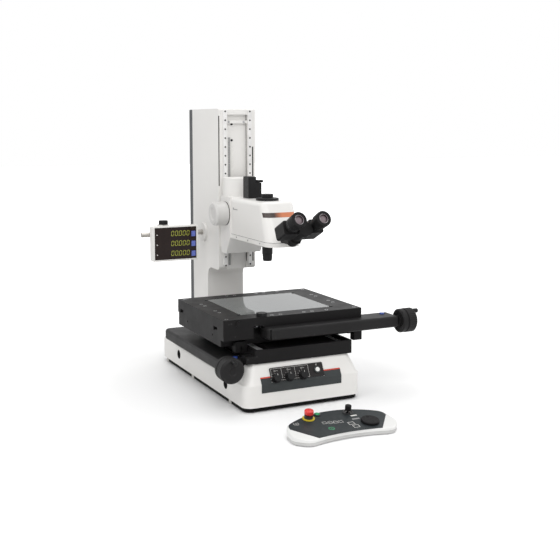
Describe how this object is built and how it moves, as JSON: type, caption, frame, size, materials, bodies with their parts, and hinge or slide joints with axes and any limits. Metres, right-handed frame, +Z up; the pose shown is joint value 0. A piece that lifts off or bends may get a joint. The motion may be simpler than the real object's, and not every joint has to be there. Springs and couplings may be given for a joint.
{
  "type": "measuring microscope",
  "caption": "Measuring microscope with cross-travel glass stage, column-guided optical head, binocular tube, counter display and remote control box.",
  "frame": {"origin": "on the desk under the optical axis, which is the centre of the stage glass", "axes": "+Z up, along the optical axis out of the stage glass; +Y to the back of the instrument, +X to the operator's right"},
  "size_m": [0.634, 0.9677, 0.787],
  "materials": {
    "body_white": "satin enamel, warm light grey",
    "stage_black": "black anodised, matte",
    "drive_black": "fine black texture paint",
    "knob_black": "matte black moulding",
    "cover_dark": "dark grey satin paint",
    "plinth_black": "black paint",
    "foot_grey": "light grey rubber",
    "panel_dark": "dark slate printed panel",
    "rail_steel": "ground steel",
    "screw_steel": "turned steel",
    "arm_chrome": "satin chrome",
    "stage_glass": "clear plate glass",
    "lens_glass": "coated optical glass",
    "blue_button": "gloss blue",
    "power_white": "gloss white",
    "display_face": "dark window",
    "pad_white": "light grey moulding",
    "pad_panel": "near-black printed panel",
    "stop_red": "gloss red",
    "start_green": "gloss green",
    "collar_trim": "yellow ring and dark collars",
    "lamp_grey": "satin light grey"
  },
  "bodies": {
    "base": {"base_casting": "body_white", "base_plinth": "plinth_black", "levelling_feet": "foot_grey", "front_panel": "panel_dark", "stage_bed": "stage_black", "lower_light": "lens_glass", "guide_rails": "rail_steel", "y_drive_housing": "drive_black", "column_casting": "body_white", "column_back_cover": "cover_dark", "display_arm": "arm_chrome"},
    "y_carriage": {"saddle": "stage_black", "saddle_guides": "rail_steel", "saddle_fittings": "stage_black"},
    "x_table": {"stage_table": "stage_black", "stage_glass": "stage_glass", "x_runner_blocks": "rail_steel", "x_drive_housing": "drive_black"},
    "x_wheel": {"x_handwheel": "drive_black"},
    "x_grip": {"x_crank_grip": "knob_black"},
    "x_release": {"x_release_button": "blue_button"},
    "y_wheel": {"y_handwheel": "drive_black"},
    "y_grip": {"y_crank_grip": "knob_black"},
    "y_release": {"y_release_button": "blue_button"},
    "clamp_knob": {"stage_clamp_knob": "knob_black"},
    "head": {"z_carriage": "body_white", "carriage_hood": "body_white", "head_underframe": "body_white", "head_cover": "body_white", "lamp_house": "lamp_grey", "objective": "knob_black", "prism_tower": "knob_black", "camera_flange": "knob_black", "binocular_neck": "drive_black"},
    "lever": {"selector_lever": "knob_black"},
    "cap": {"camera_cap": "knob_black"},
    "left_prism": {"left_prism_box": "drive_black", "left_eyepiece": "knob_black"},
    "right_prism": {"right_prism_box": "drive_black", "right_eyepiece": "knob_black"},
    "dioptre": {"dioptre_ring": "knob_black"},
    "display": {"display_housing": "body_white", "display_face": "display_face"},
    "key_x": {"zero_key_x": "blue_button"},
    "key_y": {"zero_key_y": "blue_button"},
    "key_z": {"zero_key_z": "blue_button"},
    "arm_knob": {"arm_clamp_knob": "knob_black"},
    "light_left": {"knob_left": "knob_black"},
    "light_middle": {"knob_middle": "knob_black"},
    "light_right": {"knob_right": "knob_black"},
    "power": {"power_button": "power_white"},
    "control_box": {"box_bottom": "pad_white", "box_top": "pad_white", "box_panel": "pad_panel", "control_collars": "collar_trim"},
    "stop": {"emergency_stop": "stop_red"},
    "start": {"start_button": "start_green"},
    "stick_gimbal": {"joystick_gimbal": "screw_steel"},
    "stick": {"joystick": "knob_black"},
    "dial": {"jog_dial": "knob_black"}
  },
  "joints": [
    {"name": "y_travel", "type": "slide", "parent": "base", "child": "y_carriage", "axis": [0, 1, 0], "range_m": [-0.085, 0.085]},
    {"name": "x_travel", "type": "slide", "parent": "y_carriage", "child": "x_table", "axis": [1, 0, 0], "range_m": [-0.1, 0.1]},
    {"name": "x_handwheel_turn", "type": "hinge", "parent": "x_table", "child": "x_wheel", "pos_m": [0.332, -0.194, 0.198], "axis": [1, 0, 0], "range_deg": [-1805, 1805]},
    {"name": "x_grip_spin", "type": "hinge", "parent": "x_wheel", "child": "x_grip", "pos_m": [0.364, -0.194, 0.222], "axis": [1, 0, 0], "continuous": true},
    {"name": "x_release_press", "type": "slide", "parent": "x_table", "child": "x_release", "axis": [0, 0, -1], "range_m": [0, 0.003], "stiffness_N_per_m": 300, "springref_m": -0.002},
    {"name": "y_handwheel_turn", "type": "hinge", "parent": "base", "child": "y_wheel", "pos_m": [-0.198, -0.192, 0.117], "axis": [0, -1, 0], "range_deg": [-1535, 1535]},
    {"name": "y_grip_spin", "type": "hinge", "parent": "y_wheel", "child": "y_grip", "pos_m": [-0.198, -0.224, 0.141], "axis": [0, -1, 0], "continuous": true},
    {"name": "y_release_press", "type": "slide", "parent": "base", "child": "y_release", "axis": [0, 0, -1], "range_m": [0, 0.003], "stiffness_N_per_m": 300, "springref_m": -0.002},
    {"name": "clamp_knob_turn", "type": "hinge", "parent": "x_table", "child": "clamp_knob", "pos_m": [-0.09, -0.155, 0.24], "axis": [0, 0, 1], "range_deg": [-270, 270]},
    {"name": "focus_travel", "type": "slide", "parent": "base", "child": "head", "axis": [0, 0, 1], "range_m": [-0.05, 0.17]},
    {"name": "lever_swing", "type": "hinge", "parent": "head", "child": "lever", "pos_m": [0.009, 0.09, 0.579], "axis": [0, 0, 1], "range_deg": [-40, 40]},
    {"name": "cap_lift", "type": "slide", "parent": "head", "child": "cap", "axis": [0, 0, 1], "range_m": [0, 0.05]},
    {"name": "left_eye_hinge", "type": "hinge", "parent": "head", "child": "left_prism", "pos_m": [0, -0.199, 0.45739], "axis": [0, 0.9063, -0.4226], "range_deg": [-20, 27]},
    {"name": "right_eye_hinge", "type": "hinge", "parent": "head", "child": "right_prism", "pos_m": [0, -0.199, 0.45739], "axis": [0, 0.9063, -0.4226], "range_deg": [-28, 21]},
    {"name": "dioptre_turn", "type": "hinge", "parent": "left_prism", "child": "dioptre", "pos_m": [-0.035, -0.23519, 0.48861], "axis": [0, 0.9063, -0.4226], "range_deg": [-120, 120]},
    {"name": "display_tilt", "type": "hinge", "parent": "base", "child": "display", "pos_m": [-0.191, 0.334, 0.411], "axis": [1, 0, 0], "range_deg": [-25, 30]},
    {"name": "key_x_press", "type": "slide", "parent": "display", "child": "key_x", "axis": [0, 1, 0], "range_m": [0, 0.0012], "stiffness_N_per_m": 300, "springref_m": -0.002},
    {"name": "key_y_press", "type": "slide", "parent": "display", "child": "key_y", "axis": [0, 1, 0], "range_m": [0, 0.0012], "stiffness_N_per_m": 300, "springref_m": -0.002},
    {"name": "key_z_press", "type": "slide", "parent": "display", "child": "key_z", "axis": [0, 1, 0], "range_m": [0, 0.0012], "stiffness_N_per_m": 300, "springref_m": -0.002},
    {"name": "arm_knob_turn", "type": "hinge", "parent": "display", "child": "arm_knob", "pos_m": [-0.191, 0.334, 0.446], "axis": [0, 0, 1], "range_deg": [-180, 180]},
    {"name": "light_left_turn", "type": "hinge", "parent": "base", "child": "light_left", "pos_m": [-0.076, -0.21895, 0.0869], "axis": [0, -0.8766, 0.4813], "range_deg": [-150, 150]},
    {"name": "light_middle_turn", "type": "hinge", "parent": "base", "child": "light_middle", "pos_m": [-0.038, -0.21895, 0.0869], "axis": [0, -0.8766, 0.4813], "range_deg": [-150, 150]},
    {"name": "light_right_turn", "type": "hinge", "parent": "base", "child": "light_right", "pos_m": [0.002, -0.21895, 0.0869], "axis": [0, -0.8766, 0.4813], "range_deg": [-150, 150]},
    {"name": "power_press", "type": "slide", "parent": "base", "child": "power", "axis": [0, 0.8766, -0.4813], "range_m": [0, 0.002], "stiffness_N_per_m": 300, "springref_m": -0.002},
    {"name": "control_box_move", "type": "slide", "parent": "base", "child": "control_box", "axis": [0, -1, 0], "range_m": [0, 0.15]},
    {"name": "stop_press", "type": "slide", "parent": "control_box", "child": "stop", "axis": [0, 0.1548, -0.9879], "range_m": [0, 0.003], "stiffness_N_per_m": 300, "springref_m": -0.002},
    {"name": "start_press", "type": "slide", "parent": "control_box", "child": "start", "axis": [0, 0.1548, -0.9879], "range_m": [0, 0.002], "stiffness_N_per_m": 300, "springref_m": -0.002},
    {"name": "stick_pitch", "type": "hinge", "parent": "control_box", "child": "stick_gimbal", "pos_m": [0.029, -0.40338, 0.02797], "axis": [1, 0, 0], "range_deg": [-15, 15], "stiffness_Nm_per_rad": 0.05},
    {"name": "stick_roll", "type": "hinge", "parent": "stick_gimbal", "child": "stick", "pos_m": [0.029, -0.40338, 0.02797], "axis": [0, 0.9879, 0.1548], "range_deg": [-15, 15], "stiffness_Nm_per_rad": 0.05},
    {"name": "dial_turn", "type": "hinge", "parent": "control_box", "child": "dial", "pos_m": [0.057, -0.46446, 0.02549], "axis": [0, -0.1548, 0.9879], "continuous": true}
  ],
  "couplings": [
    {"joint": "x_handwheel_turn", "follows": "x_travel", "rad_per_m": 314.16},
    {"joint": "y_handwheel_turn", "follows": "y_travel", "rad_per_m": 314.16},
    {"joint": "right_eye_hinge", "follows": "left_eye_hinge", "ratio": -1}
  ]
}
